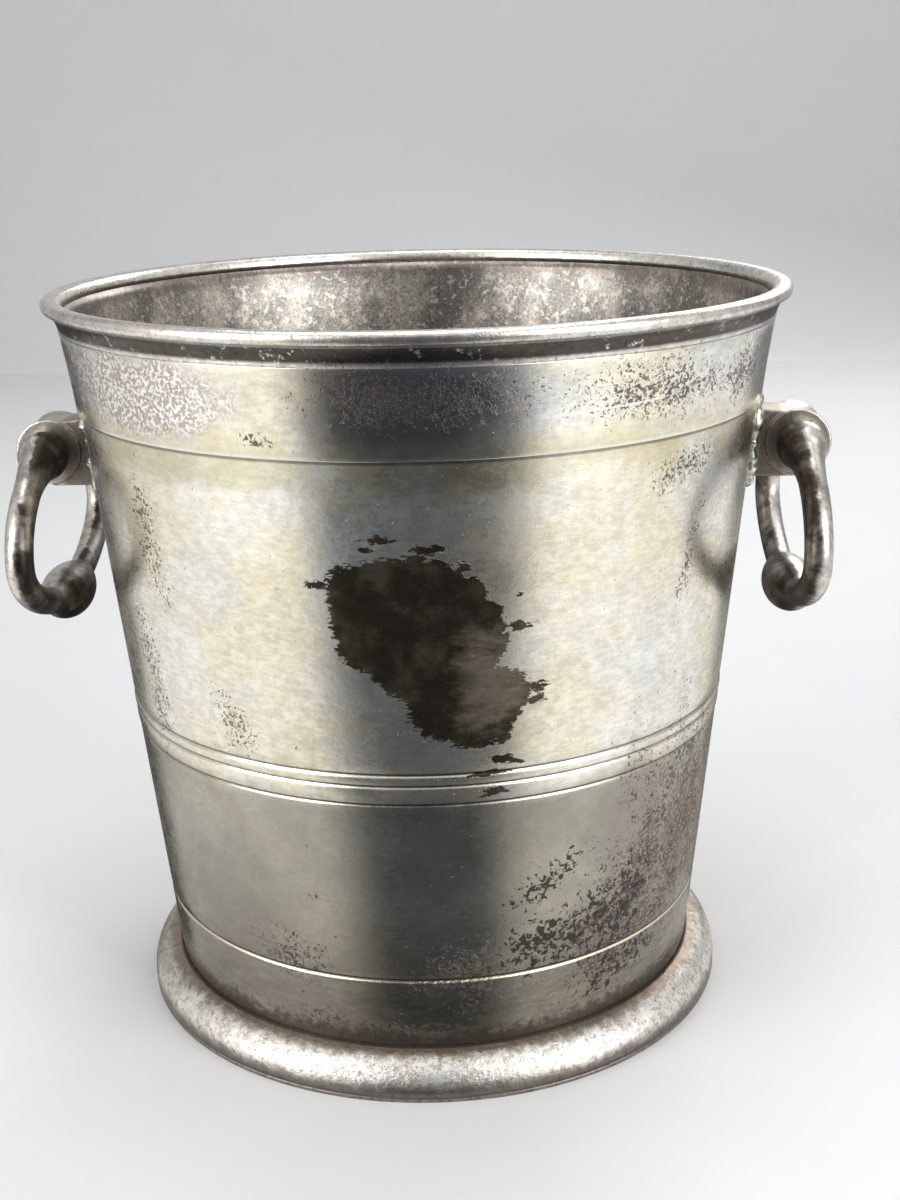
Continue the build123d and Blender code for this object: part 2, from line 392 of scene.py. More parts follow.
# %% Stain on the front
stain_body = [
    (-24, 143), (-21.5, 148), (-8, 151), (2, 151.5), (12, 145), (17.7, 137.3), (19.1, 133),
    (18.7, 125.3), (13.5, 112.3), (-5.6, 113.2), (-21.4, 125.4), (-23.5, 133.8),
]
stain_tail = [
    (-5.6, 115.2), (-0.5, 122), (15, 123.5), (21.5, 120.3), (25, 116.5), (25, 112),
    (19.8, 101.5), (18.5, 100.2), (9.4, 100.2), (-1, 103.7), (-5.3, 110.3),
]
stain_tips = [
    ((-25, 143.6), (4, 1.4), 0), ((22, 132.2), (4.5, 1.6), 0), ((26.3, 115.6), (4, 1.7), 0),
    ((26.3, 112), (4, 1.7), 0), ((1, 152.8), (5.5, 1.4), 0), ((-10.7, 155.4), (5, 1.2), 0),
    ((-13.4, 153), (2.4, 0.9), 0), ((9, 148.4), (2.2, 1.6), 0), ((19.5, 96.6), (6, 1.8), -10),
    ((15, 93.0), (9, 0.9), 4), ((16, 87.8), (5, 1.5), 6), ((22.2, 140), (1.2, 1.0), 0),
]
stain_olive = (0.040, 0.034, 0.022, 1)
stain_satin = (0.30, 0.25, 0.185, 1)


def depth_inside(finish, around, outline):
    """Millimetres inside a clockwise outline with no dents, negative outside it."""
    point = finish.node("ShaderNodeCombineXYZ", {0: around, 1: 1.0, 2: finish.z}).outputs[0]
    depth = None
    for (ax, az), (bx, bz) in zip(outline, outline[1:] + outline[:1]):
        length = math.dist((ax, az), (bx, bz))
        nx, nz = (bz - az) / length, (ax - bx) / length
        side = finish.vector("DOT_PRODUCT", point, (nx, -ax * nx - az * nz, nz))
        depth = side if depth is None else finish.math("MINIMUM", depth, side)
    return depth


def wall_stain(finish, around):
    flat = finish.stretch(0.5, 0.5, 1.25)
    flakes = finish.noise(1.15, detail=5, rough=0.7, place=flat, shift=2.0) - 0.5
    lobes = finish.noise(6.5, detail=4, rough=0.6, place=flat, shift=5.0) - 0.5
    body, tail = (depth_inside(finish, around, part) for part in (stain_body, stain_tail))
    inside = finish.math("MAXIMUM", body, tail) + flakes * 9 + lobes * 5
    tips = patches(finish, around, stain_tips) + flakes * 3.6
    stained = finish.math("MAXIMUM", finish.step(inside, 0, 0.25), finish.step(tips, 0.2, 0.3))
    satin = patch(finish, around, (14, 118), (10, 17), 8) + flakes * 1.2 + lobes * 1.8
    smoke = finish.spots(8, 0.42, 0.7, detail=6, rough=0.65, shift=17.0) * 0.3
    colour = finish.mix(finish.step(satin, -0.1, 0.8) * 0.85 + smoke, stain_olive, stain_satin)
    return stained, colour


# %% Body plate
def line_shade(finish):
    """1 in a thin band along each of the upper three lines, just above its middle, on the cut's
    downward flank: painted shade.
    """
    lines = None
    for height in line_heights[1:]:
        dark = finish.band(finish.z - (height / mm + 0.25), 0.6, 0.15)
        lines = dark if lines is None else lines + dark
    return lines


def body_outside():
    finish = Finish("body_plate_outside")
    around = unroll(finish)
    colour, mottle = wall_ground(finish)
    colour, pits, haze, deep = wall_pits(finish, around, colour)
    stained, stain_colour = wall_stain(finish, around)
    colour = finish.mix(stained, colour, stain_colour)
    crust = finish.step(finish.z + finish.ragged(2.0) * 13 + finish.ragged(14) * 8, 18.6, 14.2)
    colour = finish.mix(crust * 0.9, colour, grime_and_shade)
    # Painted shade: the upper three turned lines are darkened inside.
    colour = finish.mix(line_shade(finish) * 0.75, colour, grime_and_shade)
    # Painted shadow: a dark band on the wall just under the collar's lower edge.
    seam = finish.band(finish.z - collar_low / mm + 0.4, 0.75, 0.25)
    colour = finish.mix(seam * 0.6, colour, grime_and_shade)
    lowest = line_heights[0] / mm
    # The lowest turned line: painted shade on its upper flank, then a painted highlight on its
    # lower flank.
    colour = finish.mix(finish.band(finish.z - lowest - 0.7, 0.35, 0.1), colour, grime_and_shade)
    bright = finish.band(finish.z - lowest + 0.1, 0.5, 0.2)
    colour = finish.mix(bright, colour, (0.74, 0.69, 0.52, 1))
    cloudy = finish.spots(22, 0.3, 0.7, detail=5, shift=6.0)
    roughness = cloudy * 0.10 + (1 - mottle) * 0.10 + pits * 0.12 + haze * 0.25 + 0.17
    relief = mottle * 0.25 - pits * 0.6 - deep * 0.6 - stained * 0.15 + hairlines(finish) * 0.12
    metallic = 1.0 - pits * 0.2 - deep * 0.3 - stained * 0.2 - crust * 0.5
    return finish.output(colour, roughness, metallic, relief, 0.06)


body_outside_plate = body_outside()
print("stain sides", len(stain_body) + len(stain_tail))
print("pitted places", len(pitted_places) + len(freckled_places) + len(deep_places))

# %% [markdown]
# ## The inside
# Ice and water have left the inside unpolished: dark pewter with a fine pale bloom, and dots
# where drops dried.

# %% Body inside
def body_inside():
    finish = Finish("body_plate_inside")
    bloom = finish.noise(24, detail=6, rough=0.68, place=finish.stretch(1, 1, 0.6), shift=2.0)
    fine = finish.noise(0.8, detail=3, rough=0.6, shift=8.0)
    drops = finish.noise(1.9, detail=3, rough=0.55, shift=5.0)
    cloudy = finish.step(bloom, 0.42, 0.60)
    colour = finish.mix(cloudy * 0.75, (0.19, 0.19, 0.175, 1), (0.54, 0.48, 0.42, 1))
    rusty = finish.spots(11, 0.54, 0.68, detail=5, shift=12.0)
    colour = finish.mix(rusty * 0.3, colour, (0.26, 0.17, 0.12, 1))
    speckle = finish.step(fine + cloudy * 0.12, 0.56, 0.66)
    colour = finish.mix(speckle * 0.6, colour, (0.52, 0.47, 0.40, 1))
    dots = finish.step(drops + cloudy * 0.05, 0.575, 0.625)
    colour = finish.mix(dots * 0.7, colour, (0.66, 0.62, 0.55, 1))
    colour = finish.mix(finish.step(fine, 0.46, 0.38) * 0.5, colour, umber)
    worn_lip = finish.step(finish.z + finish.ragged(5) * 6, 195, 199)
    colour = finish.mix(worn_lip * 0.5, colour, (0.16, 0.12, 0.10, 1))
    relief = fine * 0.3 + hairlines(finish) * 0.2
    return finish.output(colour, fine * 0.2 + 0.26, 0.92, relief, 0.06)


body_inside_plate = body_inside()

# %% [markdown]
# ## Collar
# The collar was handled most when the bucket was carried, so its pits are densest. On the left
# they have joined, and what is left of the plate shows as pale dots on rosy brown.

# %% Collar plate
collar_worms = [
    ((0, 189), (30, 8), 0), ((56, 187), (30, 9), -3), ((88, 186), (14, 9), 0),
    ((-36, 179), (6, 2.5), -10), ((130, 186), (30, 9), 0), ((-130, 186), (26, 9), 0),
    ((190, 186), (40, 9), 0), ((-200, 187), (26, 8), 0),
]


def collar_finish():
    finish = Finish("collar_plate")
    around = unroll(finish)
    colour, mottle = plate_clouds(finish, straw=0.8, blue=0.5, shift=11.0)
    yellow = finish.step(finish.z + finish.ragged(10) * 12, 184, 176)
    colour = finish.mix(yellow * 0.4, colour, (0.66, 0.57, 0.30, 1))
    torn = finish.ragged(9) * 1.5
    dotted = finish.step(patch(finish, around, (-74, 187), (40, 12)) + torn, -0.1, 0.5)
    colour = finish.mix(dotted * 0.8, colour, (0.40, 0.32, 0.285, 1))
    dots = finish.spots(1.0, 0.47, 0.55, detail=3, rough=0.6, shift=6.0)
    colour = finish.mix(dots * dotted, colour, (0.93, 0.91, 0.87, 1))
    density = finish.step(patches(finish, around, collar_worms) + torn, -0.5, 0.9) * 0.85
    pits = corrosion(finish, density, 0.95, shift=3.0)
    colour = corroded(finish, colour, pits, shift=24.0)
    # Painted reflection: the collar's front middle is darkened, as the dark room in front of the
    # bucket would show in it.
    front_reflection = finish.step(patch(finish, around, (-4, 187), (30, 16)) + torn * 0.5, 0.0, 0.6)
    colour = finish.mix(front_reflection * 0.65, colour, (0.17, 0.15, 0.135, 1))
    scratch = finish.band(finish.z - around * 0.045 - 182.2, 0.35, 0.15)
    scratch = scratch * finish.step(patch(finish, around, (42, 184), (16, 6)), 0.0, 0.2)
    colour = finish.mix(scratch * 0.8, colour, clean_silver_and_highlight)
    # Painted highlight: a pale line along the collar's lower edge.
    edge = finish.step(finish.z - collar_low / mm, 1.1, 0.4)
    colour = finish.mix(edge * 0.6, colour, clean_silver_and_highlight)
    roughness = (1 - mottle) * 0.10 + 0.17 + pits * 0.06 + dotted * 0.12
    relief = mottle * 0.2 - pits * 0.3
    return finish.output(colour, roughness, 1.0 - pits * 0.1, relief, 0.05)


collar_plate = collar_finish()
print("collar patches", len(collar_worms))

# %% [markdown]
# ## Rim and foot
# The rim and the foot are rubbed by every towel and table. They are satin, crinkled with a fine
# rosy and brown mottling, and black along the foot's lowest edge. The hollow under the rim's
# nose is painted shade, dark almost to black.

# %% Rim, foot and base wire plate
def worn_plate(name, mottle_size, brown_share, bumpy, shift, satin=0.25):
    """Rubbed plate with a crinkled, mottled surface. Returns the finish with its layers."""
    finish = Finish(name)
    colour, fine_mottle = plate_clouds(finish, straw=0.3, blue=0.4, shift=shift)
    rosy = finish.spots(11, 0.46, 0.62, detail=4, shift=shift + 3.0)
    colour = finish.mix(rosy * 0.32, colour, (0.68, 0.55, 0.51, 1))
    crinkle = finish.noise(mottle_size, detail=5, rough=0.68, shift=shift + 2.0)
    brown = finish.step(crinkle, 0.49, 0.58) * brown_share
    colour = finish.mix(brown, colour, (0.30, 0.245, 0.225, 1))
    specks = finish.spots(0.9, 0.58, 0.66, detail=3, shift=shift + 5.0)
    colour = finish.mix(specks * 0.55, colour, umber)
    roughness = crinkle * 0.25 + satin + specks * 0.15
    return finish, colour, roughness, crinkle * bumpy + fine_mottle * 0.3


def rim_finish():
    layers = worn_plate("rim_plate", 2.6, 0.28, 0.5, 31.0, satin=0.16)
    finish, colour, roughness, relief = layers
    # Painted shade: the hollow under the rim's nose is darkened almost to black, with pale
    # flakes.
    under_nose = (rim_high - nose_height) / mm - 0.4
    hollow = finish.step(finish.z, under_nose + 0.5, under_nose - 0.3)
    hollow = hollow * finish.step(finish.z, rim_low / mm + 0.5, rim_low / mm + 1.6)
    flaked = finish.spots(3.0, 0.66, 0.58, detail=5, rough=0.7, shift=36.0)
    colour = finish.mix(hollow * flaked * 0.92, colour, grime_and_shade)
    return finish.output(colour, roughness, 1.0, relief, 0.10)


def foot_finish():
    layers = worn_plate("foot_plate", 1.7, 0.52, 1.6, 41.0, satin=0.26)
    finish, colour, roughness, relief = layers
    crust = finish.step(finish.z + finish.ragged(3) * 4, 9.8, 11.4)
    colour = finish.mix(crust * 0.75, colour, (0.24, 0.165, 0.11, 1))
    skirt = finish.step(finish.z + finish.ragged(5) * 4, 6.4, 2.6)
    colour = finish.mix(skirt * 0.85, colour, (0.12, 0.10, 0.088, 1))
    return finish.output(colour, roughness, 0.95, relief, 0.16)


def wire_finish():
    finish, colour, roughness, relief = worn_plate("base_wire_plate", 1.5, 0.6, 0.8, 51.0)
    return finish.output(finish.mix(0.72, colour, umber), roughness, 0.95, relief, 0.1)


nose_height = 3.4 * mm
rim_plate = rim_finish()
foot_plate = foot_finish()
wire_plate = wire_finish()

# %% [markdown]
# ## Cast pieces
# Rings and brackets are sand castings, plated and then worn. The ring is almost black on the
# side towards the bucket and pale on the outer side, with a clear edge between: painted shade
# inside and a painted highlight outside, where the side lamps catch it.

# %% Cast metal
def cast_finish(name, dark, light, shift, lit_from):
    """Old cast metal: a painted highlight where it is further from the bucket's axis than
    lit_from, painted shade nearer the axis.
    """
    finish = Finish(name)
    patina = finish.noise(9, detail=5, rough=0.6, shift=shift)
    sand = finish.noise(0.8, detail=3, rough=0.6, shift=shift + 4.0)
    streak = finish.noise(2.0, detail=5, rough=0.7, shift=shift + 7.0)
    # Painted light and shade: pale on the side away from the bucket, dark on the side towards it.
    outward = finish.math("ABSOLUTE", finish.x) - lit_from
    lit_side = finish.step(outward + (patina - 0.5) * 5 + (streak - 0.5) * 3, -0.6, 1.2)
    cloudy = finish.spots(5, 0.36, 0.62, detail=6, rough=0.7, shift=shift + 11.0)
    colour = finish.mix(finish.step(patina, 0.45, 0.7) * 0.35, dark, light)
    colour = finish.mix(lit_side * (cloudy * 0.5 + 0.42), colour, light)
    colour = finish.mix(finish.step(streak, 0.54, 0.66) * 0.5, colour, (0.17, 0.125, 0.09, 1))
    colour = finish.mix(finish.step(sand, 0.58, 0.68) * 0.45, colour, umber)
    roughness = 0.38 - lit_side * 0.08 + sand * 0.12 - cloudy * 0.05
    return finish.output(colour, roughness, 0.97, sand * 0.4 + streak * 0.6, 0.10)


pivot_mm = pivot.x / mm
handle_metal = cast_finish(
    "handle_casting", (0.042, 0.034, 0.029, 1), (0.80, 0.76, 0.69, 1), 61.0, pivot_mm - 0.2)
lug_metal = cast_finish(
    "lug_casting", (0.30, 0.265, 0.22, 1), (0.62, 0.58, 0.50, 1), 71.0, pivot_mm - 4)


def solder_finish():
    finish = Finish("soft_solder")
    lumps = finish.noise(1.8, detail=5, rough=0.6, shift=5.0)
    grey, silver = (0.30, 0.33, 0.29, 1), (0.85, 0.85, 0.76, 1)
    colour = finish.mix(finish.step(lumps, 0.4, 0.62), grey, silver)
    return finish.output(colour, lumps * 0.2 + 0.25, 1.0, lumps, 0.25)


def pin_finish():
    finish = Finish("pin_metal")
    turned = finish.noise(1.2, detail=4, rough=0.6, place=finish.stretch(3, 0.3, 3))
    colour = finish.mix(turned, (0.34, 0.26, 0.14, 1), (0.66, 0.55, 0.36, 1))
    return finish.output(colour, turned * 0.2 + 0.3, 1.0, turned, 0.05)


solder_metal = solder_finish()
pin_metal = pin_finish()
for node in ("hinge_pin_left", "hinge_pin_right"):
    coats = frame["nodes"][node].data.materials
    coats.clear()
    coats.append(pin_metal)
print("materials", len(bpy.data.materials))

# %% [markdown]
# ## A lathe in Geometry Nodes
# Spun metal is an outline turned round an axis, so the wall, collar, rim, foot and wire come
# from one node tree. The outline is a chain of points, Mesh to Curve makes it a curve, and
# Curve to Mesh carries it round a tiny circle. A soft noise then pulls the metal in by a tenth
# of a millimetre here and there, because a hand-spun wall never reflects like glass.

# %% A shape tree with named inputs
class Shape(Graph):
    """A Geometry Nodes tree, with its inputs ready by name."""

    def __init__(self, name, inputs):
        super().__init__(bpy.data.node_groups.new(name, "GeometryNodeTree"))
        face = self.tree.interface
        for label, kind in {"Geometry": "Geometry", **inputs}.items():
            face.new_socket(label, in_out="INPUT", socket_type="NodeSocket" + kind)
        face.new_socket("Geometry", in_out="OUTPUT", socket_type="NodeSocketGeometry")
        self.inputs = self.node("NodeGroupInput").outputs

    def form(self, kind, plugs=None):
        """Adds a Geometry Node and hands out what it makes."""
        return self.node("GeometryNode" + kind, plugs).outputs[0]

    def close(self, geometry, *coats):
        """Ends the tree: instances are made real, then each coat of material goes on."""
        body = self.form("RealizeInstances", {0: geometry})
        for plugs in coats:
            body = self.form("SetMaterial", {0: body, **plugs})
        self.node("NodeGroupOutput", {0: body})
        return self.tree


# %% The lathe tree
axis_radius = 5 * mm
lathe_steps = 288
wobble_size = 45 * mm
wobble_depth = 0.12 * mm


def inward_noise(shape, depth, size):
    """An offset that pulls points towards the axis by noise times depth."""
    place = shape.form("InputPosition")
    noise = shape.node("ShaderNodeTexNoise", {"Vector": place, "Scale": 1 / size, "Detail": 2.0})
    inward = shape.vector("NORMALIZE", shape.vector("MULTIPLY", place, (-1, -1, 0)))
    return shape.vector("SCALE", inward, Scale=Value(shape, noise.outputs["Fac"]) * depth)


def lathe_tree():
    shape = Shape("lathe", {
        "Segments": "Int", "Wobble": "Float", "Outside": "Material", "Inside": "Material",
    })
    inputs = shape.inputs
    outline = shape.form("MeshToCurve", {0: inputs["Geometry"]})
    circle = shape.form(
        "CurvePrimitiveCircle", {"Resolution": inputs["Segments"], "Radius": axis_radius})
    turned = shape.form("CurveToMesh", {"Curve": circle, "Profile Curve": outline})
    closed = shape.form("MergeByDistance", {0: turned, "Distance": 0.01 * mm})
    offset = inward_noise(shape, inputs["Wobble"], wobble_size)
    spun = shape.form("SetPosition", {0: closed, "Offset": offset})
    smooth = shape.form("SetShadeSmooth", {0: spun})
    place, normal = shape.form("InputPosition"), shape.form("InputNormal")
    facing = shape.vector("DOT_PRODUCT", normal, shape.vector("MULTIPLY", place, (1, 1, 0)))
    faces_axis = shape.math("LESS_THAN", facing, -0.002)
    faces_up = shape.math("GREATER_THAN", shape.axes(normal)[2], 0.9)
    hidden = shape.math("MAXIMUM", faces_axis, faces_up)
    inside = {"Selection": hidden, "Material": inputs["Inside"]}
    return shape.close(smooth, {"Material": inputs["Outside"]}, inside)


lathe = lathe_tree()
print("lathe tree nodes", len(lathe.nodes))


# %% From a tree to a plain piece
def set_inputs(modifier, values):
    """Sets a tree's inputs by their sockets' identifiers."""
    for item in modifier.node_group.interface.items_tree:
        if item.in_out == "INPUT" and item.name in values:
            modifier[item.identifier] = values[item.name]


def placed(name, data):
    """An object of some data, put into the scene."""
    made = bpy.data.objects.new(name, data)
    scene.collection.objects.link(made)
    return made


def mesh_of(name, places, edges=(), faces=()):
    """A mesh from its points, with edges for an outline or faces for a sheet."""
    mesh = bpy.data.meshes.new(name)
    mesh.from_pydata(places, edges, faces)
    return mesh


def plain_mesh(piece):
    """Bakes the modifiers of a piece into a plain mesh and removes them."""
    graph = bpy.context.evaluated_depsgraph_get()
    baked = bpy.data.meshes.new_from_object(piece.evaluated_get(graph))
    name = piece.name
    bpy.data.objects.remove(piece)
    print(name, "faces", len(baked.polygons))
    return placed(name, baked)


def shaped(piece, tree, values):
    """A piece after a Geometry Nodes tree with these inputs, as a plain mesh."""
    modifier = piece.modifiers.new(tree.name, "NODES")
    modifier.node_group = tree
    set_inputs(modifier, values)
    return plain_mesh(piece)


def coat(piece, material):
    """Leaves one material on a piece."""
    piece.data.materials.clear()
    piece.data.materials.append(material)
    return piece


# %% Outlines with rounded corners
def rounded(corners, steps=6):
    """A chain through (radius, height, rounding) corners, each rounding an arc."""
    chain = []
    for i, (r, z, rounding) in enumerate(corners):
        here = Vector((r, z))
        if rounding == 0:
            chain.append(here)
            continue
        before = (Vector(corners[i - 1][:2]) - here).normalized()
        after = (Vector(corners[(i + 1) % len(corners)][:2]) - here).normalized()
        half = before.angle(after) / 2
        reach = rounding / math.tan(half)
        centre = here + (before + after).normalized() * (rounding / math.sin(half))
        start, end = here + before * reach - centre, here + after * reach - centre
        first, last = math.atan2(start.y, start.x), math.atan2(end.y, end.x)
        turn = (last - first + math.pi) % (2 * math.pi) - math.pi
        for k in range(steps + 1):
            angle = first + turn * k / steps
            chain.append(centre + Vector((math.cos(angle), math.sin(angle))) * rounding)
    return [tuple(point) for point in chain]


def fine(chain, step=3 * mm, closed=False):
    """The same chain with long runs divided, so that noise can bend them."""
    ends = chain[1:] + chain[:1] if closed else chain[1:]
    made = []
    for a, b in zip(chain, ends):
        count = max(1, math.ceil(math.dist(a, b) / step))
        shares = [k / count for k in range(count)]
        made += [(a[0] + (b[0] - a[0]) * t, a[1] + (b[1] - a[1]) * t) for t in shares]
    return made if closed else made + [chain[-1]]


def turned(name, chain, outside, inside=None, closed=False):
    """A lathe-turned piece. The chain runs down the outside and up the inside."""
    places = [(r - axis_radius, -z, 0) for r, z in chain]
    edges = [(i, i + 1) for i in range(len(chain) - 1)]
    if closed:
        edges.append((len(chain) - 1, 0))
    return shaped(placed(name, mesh_of(name + "_outline", places, edges)), lathe, {
        "Segments": lathe_steps, "Wobble": wobble_depth, "Outside": outside,
        "Inside": inside or outside,
    })


# %% [markdown]
# ## The spun wall
# The wall is one sheet from floor to rim. Its radius is a straight cone that starts to flare at
# the collar, and four turned lines are V-shaped cuts with softly rounded reeds between the
# upper three. A formula gives the radius at any height, so the outline needs no list of points.

# %% Wall radius as a formula
cone_end = wall_at_foot + wall_slope * (collar_low - foot_high)
cone_angle = math.atan(wall_slope)
floor_thickness = 1.8 * mm
floor_corner = 3.5 * mm
print("cone, radius at the collar's edge", round(cone_end / mm, 2), "mm")


def wall_radius(z):
    """Outside radius of the plain wall: a cone, then one tangent arc above the collar's edge."""
    if z <= collar_low:
        return wall_at_foot + wall_slope * (z - foot_high)
    centre_r = cone_end + flare_radius * math.cos(cone_angle)
    centre_z = collar_low - flare_radius * math.sin(cone_angle)
    return centre_r - math.sqrt(flare_radius ** 2 - (z - centre_z) ** 2)


def relief(z):
    """What the turned lines take off the wall and the reeds add to it."""
    cut = max(0.0, 1 - min(abs(z - line) for line in line_heights) / line_half_width)
    bulge = 0.0
    for low, high in zip(line_heights[1:], line_heights[2:]):
        if low < z < high:
            bulge = reed_swell * math.sin(math.pi * (z - low) / (high - low))
    return bulge - line_depth * cut ** 1.3


def wall_heights():
    """Heights from top to bottom, close together near a turned line and wide elsewhere."""
    z, made = body_high, []
    while z > foot_high - 2 * mm:
        made.append(z)
        near = min(abs(z - line) for line in line_heights) < 2.2 * mm
        near = near or line_heights[1] < z < line_heights[3]
        z -= 0.2 * mm if near else 2.5 * mm
    return made


def body_wall():
    floor_top = body_low + floor_thickness
    inside = [
        (0, floor_top, 0), (wall_radius(floor_top) - sheet_thickness, floor_top, floor_corner),
        (wall_radius(collar_low) - sheet_thickness, collar_low, 0),
    ]
    chain = fine(rounded(inside))
    flared = [z for z in reversed(wall_heights()) if z > collar_low]
    chain += [(wall_radius(z) - sheet_thickness, z) for z in flared]
    chain += [(wall_radius(z) + relief(z), z) for z in wall_heights()]
    seam = foot_high - 2 * mm
    under = rounded([
        (wall_radius(seam), seam, 0), (wall_radius(body_low), body_low, floor_corner),
        (0, body_low, 0),
    ])
    chain += fine(under[1:])
    return turned("body_wall", chain, body_outside_plate, body_inside_plate)


wall_piece = body_wall()
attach(wall_piece, "bucket")
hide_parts("body_shell")

# %% [markdown]
# ## Collar, rim, foot and base wire
# The collar is a strip that follows the flare. The rim is a moulding with a hollow under its
# nose, which is what gives the lip its dark line. The foot is a hollow roll of sheet, closed
# below by a flat wire. Each is an outline with rounded corners on the same lathe.

# %% Collar band
solder_film = 0.05 * mm
collar_thickness = 0.9 * mm


def collar_piece():
    heights = [collar_low + (collar_high - collar_low) * k / 8 for k in range(9)]
    edge = 0.3 * mm
    outer = [(wall_radius(z) + collar_thickness, z, 0) for z in reversed(heights)]
    inner = [(wall_radius(z) + solder_film, z, 0) for z in heights]
    outer[-1] = outer[-1][:2] + (edge,)
    outer[0] = outer[0][:2] + (edge * 0.5,)
    return turned("collar", rounded(outer + inner, steps=4), collar_plate, closed=True)


# %% Rim moulding
lip_inner_drop = 3.8 * mm


def arc_through(start, middle, end, steps=10):
    """Points of the circle through three points, from start to end."""
    (ax, ay), (bx, by), (cx, cy) = start, middle, end
    d = 2 * (ax * (by - cy) + bx * (cy - ay) + cx * (ay - by))
    a2, b2, c2 = ax * ax + ay * ay, bx * bx + by * by, cx * cx + cy * cy
    ux = (a2 * (by - cy) + b2 * (cy - ay) + c2 * (ay - by)) / d
    uy = (a2 * (cx - bx) + b2 * (ax - cx) + c2 * (bx - ax)) / d
    radius = math.hypot(ax - ux, ay - uy)
    a0, a1, a2 = (math.atan2(p[1] - uy, p[0] - ux) for p in (start, middle, end))
    turn = (a2 - a0) % (2 * math.pi)
    if (a1 - a0) % (2 * math.pi) > turn:
        turn -= 2 * math.pi
    angles = [a0 + turn * k / steps for k in range(steps + 1)]
    return [(ux + radius * math.cos(a), uy + radius * math.sin(a)) for a in angles]


def between(start, end, across, up):
    """A point part of the way from start to end, with its own share across and up."""
    return start[0] + (end[0] - start[0]) * across, start[1] + (end[1] - start[1]) * up


def rim_piece():
    foot_point = (wall_radius(rim_low) + collar_thickness, rim_low)
    nose_low = (rim_radius - nose_height * 0.45, rim_high - nose_height)
    nose_mid = (rim_radius, rim_high - nose_height * 0.55)
    crest = (rim_radius - nose_height * 0.55, rim_high)
    cove_mid = between(foot_point, nose_low, 0.28, 0.55)
    inner_foot = (wall_radius(body_high) - sheet_thickness, rim_high - lip_inner_drop)
    inner_turn = (inner_foot[0] + 0.7 * mm, rim_high - 0.7 * mm)
    chain = arc_through(crest, nose_mid, nose_low, 14)
    chain += arc_through(nose_low, cove_mid, foot_point, 10)[1:]
    seat = (rim_low, (rim_low + body_high) / 2, body_high)
    chain += [(wall_radius(z) + solder_film, z) for z in seat]
    chain += [inner_foot]
    slope_mid = ((crest[0] + inner_turn[0]) / 2, rim_high - 0.05 * mm)
    chain += arc_through(inner_turn, slope_mid, crest, 8)[:-1]
    return turned("rim", fine(chain, closed=True), rim_plate, closed=True)


# %% Foot and base wire
foot_sheet = 1.5 * mm
wire_low, wire_high = heights_of("foot_base_wire")
wire_width = 2.6 * mm


def foot_piece():
    seam = (wall_radius(foot_high) + solder_film, foot_high)
    ledge = (seam[0] + 1.2 * mm, foot_high - 0.5 * mm)
    skirt_top = (foot_radius, foot_low + 1.4 * mm)
    roll_mid = between((ledge[0], skirt_top[1]), (skirt_top[0], ledge[1]), 0.72, 0.66)
    inner_skirt = (foot_radius - foot_sheet, skirt_top[1])
    inner_mid = (roll_mid[0] - foot_sheet * 0.72, roll_mid[1] - foot_sheet * 0.72)
    under_ledge = (ledge[0], ledge[1] - foot_sheet)
    inner_seam = (wall_radius(under_ledge[1]) + solder_film, under_ledge[1])
    chain = [seam] + arc_through(ledge, roll_mid, skirt_top, 16)
    chain += [(foot_radius, foot_low), (foot_radius - foot_sheet, foot_low)]
    chain += arc_through(inner_skirt, inner_mid, under_ledge, 10) + [inner_seam]
    return turned("foot", chain, foot_plate, closed=True)


def wire_piece():
    edge = 0.3 * mm
    inner = foot_radius - wire_width
    corners = [
        (foot_radius, wire_high, edge), (foot_radius, wire_low, edge),
        (inner, wire_low, edge), (inner, wire_high, edge),
    ]
    return turned("base_wire", rounded(corners, steps=4), wire_plate, closed=True)


for piece, node, slot in (
    (collar_piece(), "collar_band", "collar_plate"), (rim_piece(), "rim_moulding", "rim_plate"),
    (foot_piece(), "foot_ring", "foot_plate"), (wire_piece(), "foot_base_wire", "base_wire"),
):
    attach(piece, "bucket")
    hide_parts(node)

# %% [markdown]
# ## Drop rings
# A drop ring is a bent bar that follows a path, swells to an egg where the hand closes, and
# ends in two balls on the pivot. The path is a Bezier curve. Geometry Nodes set the bar's
# thickness from the distance to the egg and to the balls, so that it flows into both. A voxel
# remesh then fuses bar and balls into one skin, and smoothing rounds the joins.

# %% The drop ring tree
ball_radius = 7.0 * mm
ball_reach = 13.3 * mm
ring_half_width = 44 * mm
ring_widest_drop = 24 * mm
ring_drop = 43 * mm
bar_width = 7.9 * mm
bar_depth = 7.6 * mm
egg_radius = 7.8 * mm
egg_half_length = 14.5 * mm
egg_top_drop = 38 * mm
fillet_reach = 19 * mm
fillet_swell = 0.62
fillet_curve = 1.4


